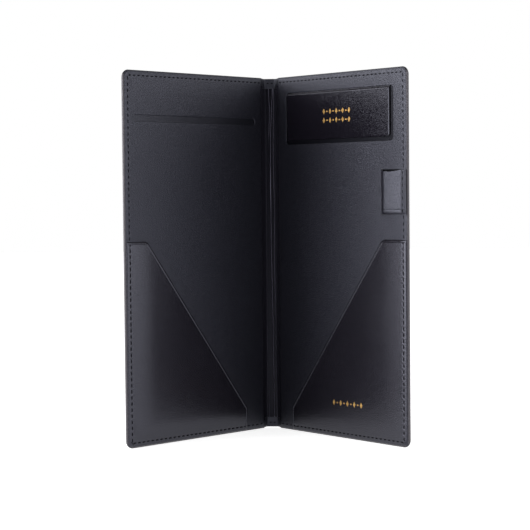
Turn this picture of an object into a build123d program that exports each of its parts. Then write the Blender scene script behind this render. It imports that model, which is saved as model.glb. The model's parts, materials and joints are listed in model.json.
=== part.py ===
from build123d import *
import os
from math import cos, hypot, radians, sin

# A leather guest check presenter. It stands open like a book on the bottom edges of its two covers,
# with its spine at the back (+Y) and its inside towards the front (-Y).
# Millimetres. +Z is up, and the origin is the middle of the bottom of its box.

os.makedirs("parts", exist_ok=True)

# ---- The whole presenter ----
height = 254.0
closed_width = 139.7
spine_width = 8.0  # between the two fold lines
rest_turn = 49.0  # how far each cover is turned in from lying flat open
corner_radius = 5.5
rim_radius = 0.7  # rounding of the turned leather edge

# ---- Sheets, from the outside in ----
cover_leather_thickness = 0.7
board_thickness = 1.4
turned_leather = 0.4  # skived leather that is turned in over the board's rim
turn_in = 7.5
lining_thickness = 0.5
pocket_leather = 0.7
lining_margin = 0.8  # cover edge to lining edge
snug = 0.05  # between pieces that are glued in place

# ---- Folds and the channel beside them ----
fold_gap = 0.3  # spine leather to the rounded end of the cover leather
mitre_gap = 0.3  # between the inner pieces when a cover is square to the spine
channel_edge = 4.1  # fold to the foot of the board's wall
wall_leather = 0.5  # lining strip up the board's wall
lining_start = 6.0  # fold to the inner edge of each cover's lining
spine_inset = 0.5  # the spine's head and tail stop short of the covers'
hem_thickness = 0.5
hem_depth = 7.3

# ---- Soft folds of the spine lining: (place across, half width, height) ----
spine_folds = [(-0.9, 0.5, 0.8), (0.8, 0.6, 0.6)]

# ---- Stitching ----
seam_inset = 3.7
stitch_pitch = 4.1
stitch_share = 0.78  # of the pitch that shows as thread
thread_width = 0.5
groove_width = 0.7
groove_depth = 0.25
thread_proud = 0.1  # inside; outside it lies below the leather
thread_sunk = 0.05

# ---- Corner pockets ----
pocket_height = 139.0
pocket_foot_height = 17.0
pocket_top_widths = {"left": 18.0, "right": 23.0}  # lining's end to the top of the slanted edge
pocket_feet = {"left": 24.3, "right": 19.6}  # fold to the foot of the slanted edge
pocket_bend = 5.0
pocket_seam_margin = 7.0
pocket_room = 0.3
pocket_edge_radius = 0.3

# ---- Check slot in the left lining ----
slot_near = 12.7
slot_end_margin = 1.0  # from its far end to the turned-in leather
slot_middle_drop = 32.1  # below the covers' head
slot_height = 4.5
slot_bag_margin = 3.0  # the space behind the slot starts this far inside it
slot_bag_drop = 95.0  # and reaches this far down
slot_bag_rise = 10.0
slot_bag_depth = 0.4
backing_cloth = 0.2

# ---- Card pocket in the right lining ----
window_near = 14.7
window_edge_margin = 13.1  # from its far side to the cover's edge
window_head_margin = 11.8
window_height = 36.9
window_radius = 3.0
card_front_far_gap = 3.7  # window edge to the free right edge of the front
card_front_low_gap = 3.0
card_front_flange = 3.0  # tucked under the lining at the left and the top
card_flange_thickness = 0.3
card_front_proud = 0.1
card_edge_radius = 0.35
card_well_depth = 0.8

# ---- Pen loop on the right cover ----
loop_width = 24.2  # over the lining
loop_length = 30.0
loop_drop = 1.2  # below the middle between the pocket and the window
loop_leather = 0.8
loop_rise = 3.2
loop_tab = 4.4  # flat end under the edge seam, up to the arch
loop_foot = 5.0  # glued behind the lining
loop_foot_thickness = 0.4
loop_slit_play = 0.5

# ---- Gold foil marks: plain lozenges and bars ----
foil_thickness = 0.12
foil_sunk = 0.08
card_mark_inset = 39.8  # from the window's near side to the rows
card_mark_run = 29.5
card_mark_drops = [14.8, 21.0]  # below the window's top
pocket_mark_near = 64.0
pocket_mark_run = 31.6
pocket_mark_height = 24.6
card_mark_count = 9
pocket_mark_count = 9
lozenge_width = 2.6
lozenge_height = 4.0
bar_width = 1.6
bar_height = 0.9


def edge_reach(along, level, radius):
    """How far forward of the fold a cover's rounded inner edge comes."""
    return (along - radius) * sin(turn) + (level - radius) * cos(turn) + radius


def front_reach():
    """The edge of the cover, of the pocket or of the pen loop's tab, whichever is foremost."""
    leather_edge = edge_reach(cover_width, board_top, rim_radius)
    pocket_edge = edge_reach(lining_end, pocket_top, pocket_edge_radius)
    loop_edge = edge_reach(lining_end, loop_top, 0)
    return max(leather_edge, pocket_edge, loop_edge)


# ---- Worked out from the values above ----
cover_width = closed_width - cover_leather_thickness / 2
fold_reach = spine_width / 2
outer_face = -cover_leather_thickness / 2
leather_inner = cover_leather_thickness / 2
board_top = leather_inner + board_thickness
hem_top = leather_inner + hem_thickness
lining_top = board_top + lining_thickness
pocket_top = lining_top + pocket_leather
loop_top = lining_top + loop_leather
board_start = channel_edge + wall_leather
board_end = cover_width - cover_leather_thickness
lining_end = cover_width - lining_margin
seam_line = cover_width - seam_inset
hem_near = hem_top + mitre_gap / 2
lining_foot_near = leather_inner + mitre_gap / 2
spine_hem_reach = fold_reach - hem_near
spine_leather_reach = fold_reach - cover_leather_thickness / 2 - fold_gap
turn = radians(rest_turn)
back_reach = -outer_face
fold_y = (front_reach() - back_reach) / 2
slot_far = cover_width - turn_in - slot_end_margin
slot_middle_height = height - slot_middle_drop
window_far = cover_width - window_edge_margin
window_high = height - window_head_margin
window_low = window_high - window_height
loop_near = lining_end - loop_width
loop_middle = (pocket_height + window_low) / 2 - loop_drop
loop_low = loop_middle - loop_length / 2
loop_high = loop_middle + loop_length / 2
sides = {"left": -1, "right": 1}
outer_group = {"left": 0, "right": -1}


def cover_plane(side, level=0.0):
    """Plane along a cover: x along it, y up, and level mm inside its fold line."""
    across = Vector(cos(turn), -side * sin(turn), 0)
    inward = Vector(-side * sin(turn), -cos(turn), 0)
    fold = Vector(side * fold_reach, fold_y, 0)
    return Plane(origin=fold, x_dir=across, z_dir=inward).offset(level)


def section_plane(side, low):
    """Level plane at a cover's fold: x along the cover, -y towards its inside."""
    across = Vector(cos(turn), -side * sin(turn), 0)
    return Plane(origin=Vector(side * fold_reach, fold_y, low), x_dir=across, z_dir=(0, 0, 1))


def spine_plane(level=0.0):
    """Plane across the spine: x across, y up, and level mm inside the fold lines."""
    return Plane(origin=(0, fold_y, 0), x_dir=(1, 0, 0), z_dir=(0, -1, 0)).offset(level)


def strip(side, near, far, low, high):
    """Rectangle on a cover, from near to far of its fold and from low to high."""
    with Locations((side * (near + far) / 2, (low + high) / 2)):
        Rectangle(far - near, high - low)


def band(half_width, low, high):
    """Rectangle in the middle of the spine."""
    with Locations((0, (low + high) / 2)):
        Rectangle(2 * half_width, high - low)


def section_points(side, points):
    """Outline points given as (distance from the fold, level), on a section plane."""
    return [(side * along, -level) for along, level in points]


def pocket_points(name, side):
    """Corners of a corner pocket, from the top of its outer edge round to its foot."""
    shoulder = lining_end - pocket_top_widths[name]
    foot = pocket_feet[name]
    corners = [
        (lining_end, lining_margin),
        (lining_end, pocket_height),
        (shoulder, pocket_height),
        (foot, pocket_foot_height),
        (foot, lining_margin),
    ]
    return [(side * along, up) for along, up in corners]


def seam_runs(name):
    """Straight runs of a cover's edge seam as (start, end, level), points as (along, height)."""
    head = height - seam_inset
    tail = seam_inset
    first = lining_start
    foot = pocket_feet[name]
    runs = [((first, head), (seam_line, head), lining_top)]
    if name == "right":
        runs.append(((seam_line, head), (seam_line, loop_high), lining_top))
        runs.append(((seam_line, loop_high), (seam_line, loop_low), loop_top))
        runs.append(((seam_line, loop_low), (seam_line, pocket_height), lining_top))
    else:
        runs.append(((seam_line, head), (seam_line, pocket_height), lining_top))
    runs.append(((seam_line, pocket_height), (seam_line, tail), pocket_top))
    runs.append(((seam_line, tail), (foot, tail), pocket_top))
    runs.append(((foot, tail), (first, tail), lining_top))
    return runs


def stitch_places(start, end, side):
    """Middle of each stitch on a run, evenly spaced, with the angle of the run."""
    length = hypot(end[0] - start[0], end[1] - start[1])
    count = max(1, round(length / stitch_pitch))
    angle = 0 if start[1] == end[1] else 90
    places = []
    for step in range(count):
        share = (step + 0.5) / count
        along = start[0] + (end[0] - start[0]) * share
        up = start[1] + (end[1] - start[1]) * share
        places.append(Location((side * along, up, 0), (0, 0, angle)))
    return places, length / count * stitch_share


def stitches(base, places, length, thread_height):
    """Row of stitches that stand on a plane."""
    with Locations(*[base.location * place for place in places]):
        Box(length, thread_width, thread_height, align=(Align.CENTER, Align.CENTER, Align.MIN))


def groove_outline(start, end, side):
    """Rectangle of a run's groove, closed round the half width at both ends."""
    half = groove_width / 2
    low_along, high_along = sorted((start[0], end[0]))
    low_up, high_up = sorted((start[1], end[1]))
    strip(side, low_along - half, high_along + half, low_up - half, high_up + half)


def inmost_face(piece, side):
    """Face of a flat piece on a cover that looks towards the inside."""
    plane = cover_plane(side)
    faces = piece.faces().filter_by(plane)
    return faces.sort_by(lambda face: (face.center() - plane.origin).dot(plane.z_dir))[-1]


def marks_row(near, up, run, count):
    """Row of lozenges with a short bar between each two."""
    pitch = run / count
    for step in range(count):
        place = near + (step + 0.5) * pitch
        with Locations((place, up)):
            if step % 2 == 0:
                Polygon(
                    (lozenge_width / 2, 0),
                    (0, lozenge_height / 2),
                    (-lozenge_width / 2, 0),
                    (0, -lozenge_height / 2),
                )
            else:
                Rectangle(bar_width, bar_height)


# ---- Gold foil, which is also the shape of its own impressions ----
with BuildPart() as card_pocket_foil:
    with BuildSketch(cover_plane(1, lining_top + card_front_proud - foil_sunk)):
        for drop in card_mark_drops:
            row_near = window_near + card_mark_inset
            marks_row(row_near, window_high - drop, card_mark_run, card_mark_count)
    extrude(amount=foil_thickness)

with BuildPart() as pocket_foil:
    with BuildSketch(cover_plane(1, pocket_top - foil_sunk)):
        marks_row(pocket_mark_near, pocket_mark_height, pocket_mark_run, pocket_mark_count)
    extrude(amount=foil_thickness)

# ---- Pen loop: a flat tab under the edge seam, an arch, and a foot through the lining ----
arch_near = loop_near + loop_leather
arch_far = lining_end - loop_tab
arch_middle = (arch_near + arch_far) / 2
foot_level = board_top - loop_foot_thickness
with BuildPart() as pen_loop:
    with BuildSketch(section_plane(1, loop_low)):
        with BuildLine():
            outline = section_points(
                1,
                [
                    (arch_near, lining_top),
                    (arch_middle, lining_top + loop_rise),
                    (arch_far, lining_top),
                    (lining_end, lining_top),
                    (lining_end, loop_top),
                    (arch_far, loop_top),
                    (arch_middle, loop_top + loop_rise),
                    (loop_near, lining_top + snug),
                    (loop_near, board_top),
                    (arch_near - loop_foot, board_top),
                    (arch_near - loop_foot, foot_level),
                    (arch_near, foot_level),
                ],
            )
            ThreePointArc(outline[0], outline[1], outline[2])
            Polyline(outline[2], outline[3], outline[4], outline[5])
            ThreePointArc(outline[5], outline[6], outline[7])
            Polyline(*outline[7:], outline[0])
        make_face()
    extrude(amount=loop_high - loop_low)
    with BuildSketch(cover_plane(1, loop_top)):
        groove_outline((seam_line, loop_low), (seam_line, loop_high), 1)
    extrude(amount=-groove_depth, mode=Mode.SUBTRACT)
pen_loop.part.label = "pen_loop"
export_step(pen_loop.part, "parts/pen_loop.step")

for name, side in sides.items():
    # ---- Cloth behind the slot or the card, in a shallow recess of the board ----
    if name == "left":
        recess = (slot_near - slot_bag_margin, slot_far + snug)
        recess_heights = (slot_middle_height - slot_bag_drop, slot_middle_height + slot_bag_rise)
        recess_depth = slot_bag_depth
        backing_name = "check_slot_backing"
    else:
        recess = (window_near - card_front_flange, window_far)
        recess_heights = (window_low, window_high + card_front_flange)
        recess_depth = card_well_depth
        backing_name = "card_pocket_backing"
    with BuildPart() as backing:
        with BuildSketch(cover_plane(side, board_top - recess_depth)):
            strip(side, *recess, *recess_heights)
        extrude(amount=backing_cloth)
    backing.part.label = backing_name
    export_step(backing.part, f"parts/{backing_name}.step")

    # ---- Board: thinner along three edges, where the cover leather is turned in ----
    with BuildPart() as board:
        with BuildSketch(cover_plane(side, leather_inner)) as board_outline:
            low = cover_leather_thickness
            strip(side, board_start, board_end, low, height - low)
            outer = board_outline.vertices().group_by(Axis.X)[outer_group[name]]
            fillet(outer, corner_radius - cover_leather_thickness)
        extrude(amount=board_thickness - turned_leather)
        with BuildSketch(cover_plane(side, leather_inner)):
            strip(side, board_start, cover_width - turn_in, turn_in, height - turn_in)
        extrude(amount=board_thickness)
    with BuildPart() as board_piece:
        add(board.part)
        with BuildSketch(cover_plane(side, board_top - recess_depth)):
            strip(side, *recess, *recess_heights)
        extrude(amount=recess_depth, mode=Mode.SUBTRACT)
        if name == "right":
            with BuildSketch(cover_plane(side, foot_level)):
                foot_end = arch_near + snug
                strip(side, arch_near - loop_foot - snug, foot_end, loop_low - snug, loop_high + snug)
            extrude(amount=loop_foot_thickness, mode=Mode.SUBTRACT)
    board_piece.part.label = f"{name}_board"
    export_step(board_piece.part, f"parts/{name}_board.step")

    # ---- Cover leather: a sheet turned over the board, and hemmed across the channel ----
    with BuildPart() as cover_leather:
        with BuildSketch(cover_plane(side, outer_face)) as cover_outline:
            strip(side, channel_edge, cover_width, 0, height)
            outer = cover_outline.vertices().group_by(Axis.X)[outer_group[name]]
            fillet(outer, corner_radius)
        extrude(amount=cover_leather_thickness + board_thickness)
        flat_faces = cover_leather.faces().filter_by(cover_plane(side))
        fold = cover_plane(side).origin
        rims = flat_faces.edges().filter_by(
            lambda edge: (edge.center() - fold).dot(cover_plane(side).x_dir) * side
            > channel_edge + rim_radius
        )
        fillet(rims, rim_radius)
        add(board.part, mode=Mode.SUBTRACT)
        with BuildSketch(cover_plane(side, leather_inner)):
            strip(side, channel_edge, board_start, hem_depth, height - hem_depth)
        extrude(amount=board_thickness, mode=Mode.SUBTRACT)
        with BuildSketch(cover_plane(side, outer_face)):
            strip(side, 0, channel_edge, spine_inset, height - spine_inset)
        extrude(amount=cover_leather_thickness)
        with BuildSketch(section_plane(side, spine_inset)):
            Circle(cover_leather_thickness / 2)
        extrude(amount=height - 2 * spine_inset)
        with BuildSketch(cover_plane(side, leather_inner)):
            strip(side, hem_near, channel_edge, height - hem_depth, height - spine_inset)
            strip(side, hem_near, channel_edge, spine_inset, hem_depth)
        extrude(amount=hem_thickness)
        for start, end, level in seam_runs(name):
            with BuildSketch(cover_plane(side, outer_face)):
                groove_outline(start, end, side)
            extrude(amount=groove_depth, mode=Mode.SUBTRACT)
    cover_leather.part.label = f"{name}_cover_leather"
    export_step(cover_leather.part, f"parts/{name}_cover_leather.step")

    # ---- Lining strip in the channel, up the board's wall and onto the board ----
    with BuildPart() as hinge_lining:
        low = hem_depth + snug
        with BuildSketch(section_plane(side, low)) as hinge_outline:
            strip_end = lining_start - snug
            outline = [
                (lining_foot_near, leather_inner),
                (board_start - snug, leather_inner),
                (board_start - snug, board_top),
                (strip_end, board_top),
                (strip_end, lining_top),
                (channel_edge, lining_top),
                (channel_edge, hem_top),
                (hem_near, hem_top),
            ]
            with BuildLine():
                Polyline(*section_points(side, outline), close=True)
            make_face()
            round_corner = section_points(side, [outline[5]])[0]
            corner = hinge_outline.vertices().sort_by_distance((*round_corner, 0))[0]
            fillet(corner, wall_leather * 0.8)
        extrude(amount=height - 2 * low)
    hinge_lining.part.label = f"{name}_hinge_lining"
    export_step(hinge_lining.part, f"parts/{name}_hinge_lining.step")

    # ---- Lining, with its slot or window and the seam's grooves ----
    with BuildPart() as lining:
        with BuildSketch(cover_plane(side, board_top)) as lining_outline:
            strip(side, lining_start, lining_end, lining_margin, height - lining_margin)
            outer = lining_outline.vertices().group_by(Axis.X)[outer_group[name]]
            fillet(outer, corner_radius - lining_margin)
            if name == "left":
                with Locations((side * (slot_near + slot_far) / 2, slot_middle_height)):
                    SlotOverall(slot_far - slot_near, slot_height, mode=Mode.SUBTRACT)
            else:
                window_middle = (window_near + window_far) / 2
                with Locations((side * window_middle, (window_low + window_high) / 2)):
                    RectangleRounded(
                        window_far - window_near,
                        window_high - window_low,
                        window_radius,
                        mode=Mode.SUBTRACT,
                    )
                with Locations((side * (loop_near + arch_near) / 2, (loop_low + loop_high) / 2)):
                    Rectangle(
                        loop_leather + 2 * snug,
                        loop_high - loop_low + 2 * loop_slit_play,
                        mode=Mode.SUBTRACT,
                    )
        extrude(amount=lining_thickness)
        for start, end, level in seam_runs(name):
            if level == lining_top:
                with BuildSketch(cover_plane(side, lining_top)):
                    groove_outline(start, end, side)
                extrude(amount=-groove_depth, mode=Mode.SUBTRACT)
    lining.part.label = f"{name}_lining"
    export_step(lining.part, f"parts/{name}_lining.step")

    # ---- Corner pocket: sewn along the outer side and the tail, free at its slanted edge ----
    with BuildPart() as pocket:
        with BuildSketch(cover_plane(side, lining_top)) as pocket_outline:
            Polygon(*pocket_points(name, side), align=None)
            corners = pocket_points(name, side)
            for corner in (corners[2], corners[3]):
                bend = pocket_outline.vertices().sort_by_distance((*corner, 0))[0]
                fillet(bend, pocket_bend)
            tail_corner = pocket_outline.vertices().sort_by_distance((*corners[0], 0))[0]
            fillet(tail_corner, corner_radius - lining_margin)
        extrude(amount=pocket_leather)
        fillet(inmost_face(pocket, side).edges(), pocket_edge_radius)
        with BuildSketch(cover_plane(side, lining_top)):
            inner_end = lining_end - pocket_seam_margin
            strip(side, 0, inner_end, pocket_seam_margin, pocket_height)
        extrude(amount=pocket_room, mode=Mode.SUBTRACT)
        for start, end, level in seam_runs(name):
            if level == pocket_top:
                with BuildSketch(cover_plane(side, pocket_top)):
                    groove_outline(start, end, side)
                extrude(amount=-groove_depth, mode=Mode.SUBTRACT)
        if name == "right":
            add(pocket_foil.part, mode=Mode.SUBTRACT)
    pocket.part.label = f"{name}_pocket"
    export_step(pocket.part, f"parts/{name}_pocket.step")

    # ---- Edge seam thread: raised a little inside, sunk in its groove outside ----
    with BuildPart() as inner_stitching:
        for start, end, level in seam_runs(name):
            places, stitch_length = stitch_places(start, end, side)
            base = cover_plane(side, level - groove_depth)
            stitches(base, places, stitch_length, groove_depth + thread_proud)
    inner_stitching.part.label = f"{name}_inner_stitching"
    export_step(inner_stitching.part, f"parts/{name}_inner_stitching.step")

    with BuildPart() as outer_stitching:
        for start, end, level in seam_runs(name):
            places, stitch_length = stitch_places(start, end, side)
            base = cover_plane(side, outer_face + thread_sunk)
            stitches(base, places, stitch_length, groove_depth - thread_sunk)
    outer_stitching.part.label = f"{name}_outer_stitching"
    export_step(outer_stitching.part, f"parts/{name}_outer_stitching.step")

# ---- Card pocket front: tucked under the lining at the left and top, free right and bottom ----
with BuildPart() as card_pocket_front:
    front_low = window_low + card_front_low_gap
    front_far = window_far - card_front_far_gap
    with BuildSketch(cover_plane(1, board_top - card_flange_thickness)) as front_outline:
        strip(1, window_near + snug, front_far, front_low, window_high - snug)
        fillet(front_outline.vertices().group_by(Axis.X)[0].sort_by(Axis.Y)[-1], window_radius)
    extrude(amount=card_flange_thickness + lining_thickness + card_front_proud)
    fillet(inmost_face(card_pocket_front, 1).edges(), card_edge_radius)
    with BuildSketch(cover_plane(1, board_top - card_flange_thickness)):
        flange_near = window_near - card_front_flange + snug
        strip(1, flange_near, front_far, front_low, window_high + card_front_flange - snug)
    extrude(amount=card_flange_thickness)
    add(card_pocket_foil.part, mode=Mode.SUBTRACT)
card_pocket_front.part.label = "card_pocket_front"
export_step(card_pocket_front.part, "parts/card_pocket_front.step")

card_pocket_foil.part.label = "card_pocket_foil"
export_step(card_pocket_foil.part, "parts/card_pocket_foil.step")
pocket_foil.part.label = "pocket_foil"
export_step(pocket_foil.part, "parts/pocket_foil.step")

# ---- Spine leather, hemmed at head and tail ----
spine_low = spine_inset
spine_high = height - spine_inset
spine_groove_reach = spine_hem_reach - (groove_width - thread_width) / 2
with BuildPart() as spine_leather:
    with BuildSketch(spine_plane(outer_face)):
        band(spine_leather_reach, spine_low, spine_high)
    extrude(amount=cover_leather_thickness)
    with BuildSketch(spine_plane(leather_inner)):
        band(spine_hem_reach, spine_low, hem_depth)
        band(spine_hem_reach, height - hem_depth, spine_high)
    extrude(amount=hem_thickness)
    for up in (seam_inset, height - seam_inset):
        with BuildSketch(spine_plane(hem_top)):
            band(spine_groove_reach, up - groove_width / 2, up + groove_width / 2)
        extrude(amount=-groove_depth, mode=Mode.SUBTRACT)
        with BuildSketch(spine_plane(outer_face)):
            band(spine_groove_reach, up - groove_width / 2, up + groove_width / 2)
        extrude(amount=groove_depth, mode=Mode.SUBTRACT)
spine_leather.part.label = "spine_leather"
export_step(spine_leather.part, "parts/spine_leather.step")

with BuildPart() as spine_stitching:
    stitch_length = spine_groove_reach * stitch_share
    for up in (seam_inset, height - seam_inset):
        middles = [Location((half * spine_groove_reach / 2, up, 0)) for half in (-1, 1)]
        inner = spine_plane(hem_top - groove_depth)
        outer = spine_plane(outer_face + thread_sunk)
        stitches(inner, middles, stitch_length, groove_depth + thread_proud)
        stitches(outer, middles, stitch_length, groove_depth - thread_sunk)
spine_stitching.part.label = "spine_stitching"
export_step(spine_stitching.part, "parts/spine_stitching.step")

# ---- Spine lining: a soft strip with loose upright folds, between the two hems ----
with BuildPart() as spine_lining:
    low = hem_depth + snug
    with BuildSketch(Plane(origin=(0, fold_y, low), x_dir=(1, 0, 0), z_dir=(0, 0, 1))):
        wide = fold_reach - lining_foot_near
        Polygon(
            (-wide, -leather_inner),
            (wide, -leather_inner),
            (spine_hem_reach, -hem_top),
            (-spine_hem_reach, -hem_top),
            align=None,
        )
        for across, half_width, rise in spine_folds:
            with Locations((across, -hem_top)):
                Ellipse(half_width, rise)
        with Locations((0, -leather_inner)):
            Rectangle(spine_width, spine_width, align=(Align.CENTER, Align.MIN), mode=Mode.SUBTRACT)
    extrude(amount=height - 2 * low)
spine_lining.part.label = "spine_lining"
export_step(spine_lining.part, "parts/spine_lining.step")
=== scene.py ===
import json
from math import cos, exp, pi, radians, sin, sqrt, tan

import bmesh
import bpy
from mathutils import Matrix, Vector
from mathutils.kdtree import KDTree
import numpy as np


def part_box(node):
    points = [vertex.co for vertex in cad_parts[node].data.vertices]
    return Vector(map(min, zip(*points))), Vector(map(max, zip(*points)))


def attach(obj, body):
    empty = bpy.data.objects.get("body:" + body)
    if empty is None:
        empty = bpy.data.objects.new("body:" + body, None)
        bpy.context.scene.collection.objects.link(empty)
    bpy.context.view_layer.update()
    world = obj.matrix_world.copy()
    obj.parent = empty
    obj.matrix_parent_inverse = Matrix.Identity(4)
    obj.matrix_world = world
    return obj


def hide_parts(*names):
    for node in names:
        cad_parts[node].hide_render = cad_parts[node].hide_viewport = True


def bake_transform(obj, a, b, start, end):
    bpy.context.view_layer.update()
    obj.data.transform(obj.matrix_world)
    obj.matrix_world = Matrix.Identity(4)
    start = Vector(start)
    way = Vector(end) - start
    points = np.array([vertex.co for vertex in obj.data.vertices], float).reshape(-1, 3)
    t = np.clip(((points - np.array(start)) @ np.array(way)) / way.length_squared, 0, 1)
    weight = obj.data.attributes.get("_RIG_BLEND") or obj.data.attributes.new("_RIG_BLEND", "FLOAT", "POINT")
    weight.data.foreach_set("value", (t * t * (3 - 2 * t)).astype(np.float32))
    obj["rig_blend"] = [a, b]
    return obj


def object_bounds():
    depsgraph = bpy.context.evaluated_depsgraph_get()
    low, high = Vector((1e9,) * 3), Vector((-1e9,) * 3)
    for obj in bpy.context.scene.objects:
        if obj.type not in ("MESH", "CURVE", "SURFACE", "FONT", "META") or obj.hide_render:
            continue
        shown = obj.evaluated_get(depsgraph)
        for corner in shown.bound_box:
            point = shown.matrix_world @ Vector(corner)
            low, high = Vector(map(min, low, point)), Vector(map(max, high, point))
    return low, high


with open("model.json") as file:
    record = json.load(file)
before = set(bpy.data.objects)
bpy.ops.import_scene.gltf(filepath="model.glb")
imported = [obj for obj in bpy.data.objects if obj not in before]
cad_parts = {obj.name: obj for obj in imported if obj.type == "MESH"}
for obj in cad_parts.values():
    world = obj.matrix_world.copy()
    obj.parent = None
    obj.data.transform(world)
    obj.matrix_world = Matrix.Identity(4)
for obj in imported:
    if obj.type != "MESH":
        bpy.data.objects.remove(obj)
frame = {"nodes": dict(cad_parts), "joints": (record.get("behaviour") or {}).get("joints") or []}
cad_box = [list(corner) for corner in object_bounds()]
scene = bpy.context.scene
mm = 0.001

# ---- Viewpoint ----
# A long lens a little right of the middle and level with the upper half of the open covers,
# fitted so that their corners and edges fall where the photograph has them.
camera_data = bpy.data.cameras.new("camera")
camera_data.sensor_width = 36
camera_data.lens = 115.07
camera = bpy.data.objects.new("camera", camera_data)
scene.collection.objects.link(camera)
camera.location = (0.03946, -1.17816, 0.16969)
camera.rotation_euler = [radians(angle) for angle in (87.628, 0.521, 2.029)]
scene.camera = camera

# ---- Studio ----
# A white table in a white room that is darker overhead and straight in front, with a tall soft
# window light on the left and a weaker one on the right. The table keeps a soft shadow.
scene.view_settings.view_transform = "Standard"


def add_node(tree, kind, links, **settings):
    """A node with its settings made, and its inputs linked or set."""
    node = tree.nodes.new(kind)
    for key, value in settings.items():
        setattr(node, key, value)
    for key, value in links.items():
        if isinstance(value, bpy.types.NodeSocket):
            tree.links.new(value, node.inputs[key])
        else:
            node.inputs[key].default_value = value
    return node


world = bpy.data.worlds.new("white_room")
scene.world = world
world.use_nodes = True
room_tree = world.node_tree
room_place = add_node(room_tree, "ShaderNodeTexCoord", {})
room_axes = add_node(room_tree, "ShaderNodeSeparateXYZ", {0: room_place.outputs["Generated"]})
overhead = add_node(
    room_tree, "ShaderNodeMapRange",
    {
        "Value": room_axes.outputs["Z"], "From Min": 0.05, "From Max": 0.6,
        "To Min": 1.0, "To Max": 0.35,
    },
    interpolation_type="SMOOTHSTEP",
)
in_front = add_node(
    room_tree, "ShaderNodeMapRange",
    {
        "Value": room_axes.outputs["Y"], "From Min": -0.99, "From Max": -0.8,
        "To Min": 0.25, "To Max": 1.0,
    },
    interpolation_type="SMOOTHSTEP",
)
room_light = add_node(
    room_tree, "ShaderNodeMath", {0: overhead.outputs[0], 1: in_front.outputs[0]},
    operation="MULTIPLY",
)
room_paths = add_node(room_tree, "ShaderNodeLightPath", {})
room_shown = add_node(
    room_tree, "ShaderNodeMath", {0: room_light.outputs[0], 1: room_paths.outputs["Is Camera Ray"]},
    operation="MAXIMUM",
)
room_tree.nodes["Background"].inputs["Color"].default_value = (1, 1, 1, 1)
room_tree.links.new(room_shown.outputs[0], room_tree.nodes["Background"].inputs["Strength"])

table_material = bpy.data.materials.new("white_table")
table_material.use_nodes = True
table_tree = table_material.node_tree
table_surface = table_tree.nodes["Principled BSDF"]
table_surface.inputs["Base Color"].default_value = (0.9, 0.9, 0.9, 1)
table_surface.inputs["Roughness"].default_value = 0.7
table_surface.inputs["Emission Color"].default_value = (1, 1, 1, 1)
table_paths = add_node(table_tree, "ShaderNodeLightPath", {})
table_shown = add_node(
    table_tree, "ShaderNodeMath",
    {0: table_paths.outputs["Is Camera Ray"], 1: table_paths.outputs["Is Glossy Ray"]},
    operation="MAXIMUM",
)
table_lift = add_node(
    table_tree, "ShaderNodeMath", {0: table_shown.outputs[0], 1: 0.8}, operation="MULTIPLY"
)
table_tree.links.new(table_lift.outputs[0], table_surface.inputs["Emission Strength"])
table_bm = bmesh.new()
bmesh.ops.create_circle(table_bm, cap_ends=True, segments=64, radius=4)
table_mesh = bpy.data.meshes.new("table")
table_bm.to_mesh(table_mesh)
table_bm.free()
table_mesh.materials.append(table_material)
table = bpy.data.objects.new("table", table_mesh)
scene.collection.objects.link(table)

lit_point = Vector((0, 0, 0.15))
for name, place, size, power in (
    ("left_window", (-1.3, -0.3, 0.45), 1.2, 28),
    ("right_window", (1.3, -0.4, 0.45), 1.2, 10),
):
    light_data = bpy.data.lights.new(name, "AREA")
    light_data.size = size
    light_data.energy = power
    light = bpy.data.objects.new(name, light_data)
    scene.collection.objects.link(light)
    light.location = place
    light.rotation_euler = (lit_point - Vector(place)).to_track_quat("-Z", "Y").to_euler()

# ---- Outer leather ----
# One black sheet from edge to edge, turned in over the boards and hemmed over the spine. It is
# laid out flat, x across from the middle of the spine, y up from the tail and z inward, and shown
# as two halves that meet in the middle of the spine and bend at their own folds.
folds = {joint["child"]: joint for joint in frame["joints"]}
left_fold = Vector(folds["left_cover"]["pos_m"])
cover_turn = radians(-folds["left_cover"]["range_deg"][0])
fold_reach = -left_fold.x
fold_y = left_fold.y
height = cad_box[1][2]
# Levels of the leather's outer face, and of its inner face on the boards and on the hems.
outer_face = -0.35 * mm
board_top = 1.75 * mm
hem_top = 0.85 * mm
sheet_thickness = 0.35 * mm
corner_radius = 5.5 * mm
rim_radius = 0.7 * mm
# The sheet bends within bend_reach on either side of a fold's line.
bend_reach = 1.3 * mm
bend_radius = bend_reach / tan(cover_turn / 2)
sides = {"left": -1, "right": 1}
# Points nearer than this are one point, and a level or cut is met within the exact play.
same_place = 1e-6
exact_play = 1e-7


def in_mm(*values):
    """A list of lengths that are given in millimetres."""
    return [value * mm for value in values]


def eased(value, start, end):
    """0 before start, 1 after end, and smooth between them."""
    share = min(max((value - start) / (end - start), 0), 1)
    return share * share * (3 - 2 * share)


def bell(off, spread):
    """1 at the middle of a soft bump or groove, falling off to either side."""
    return exp(-((off / spread) ** 2))


def rounded(depth, radius):
    """Height of a rounded edge, from 0 at the edge to 1 at its radius and beyond."""
    return sqrt(max(1 - (1 - min(depth / radius, 1)) ** 2, 0))


def folded(point):
    """Where a point of the flat pattern lies once the covers are turned in."""
    side = 1 if point.x > 0 else -1
    along = abs(point.x) - fold_reach
    if along < -bend_reach:
        return Vector((point.x, fold_y - point.z, point.y))
    if along < bend_reach:
        angle = cover_turn * (along + bend_reach) / (2 * bend_reach)
        radius = bend_radius - point.z
        across = fold_reach - bend_reach + radius * sin(angle)
        return Vector((side * across, fold_y - bend_radius + radius * cos(angle), point.y))
    across = fold_reach + along * cos(cover_turn) - point.z * sin(cover_turn)
    inward = along * sin(cover_turn) + point.z * cos(cover_turn)
    return Vector((side * across, fold_y - inward, point.y))


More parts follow.
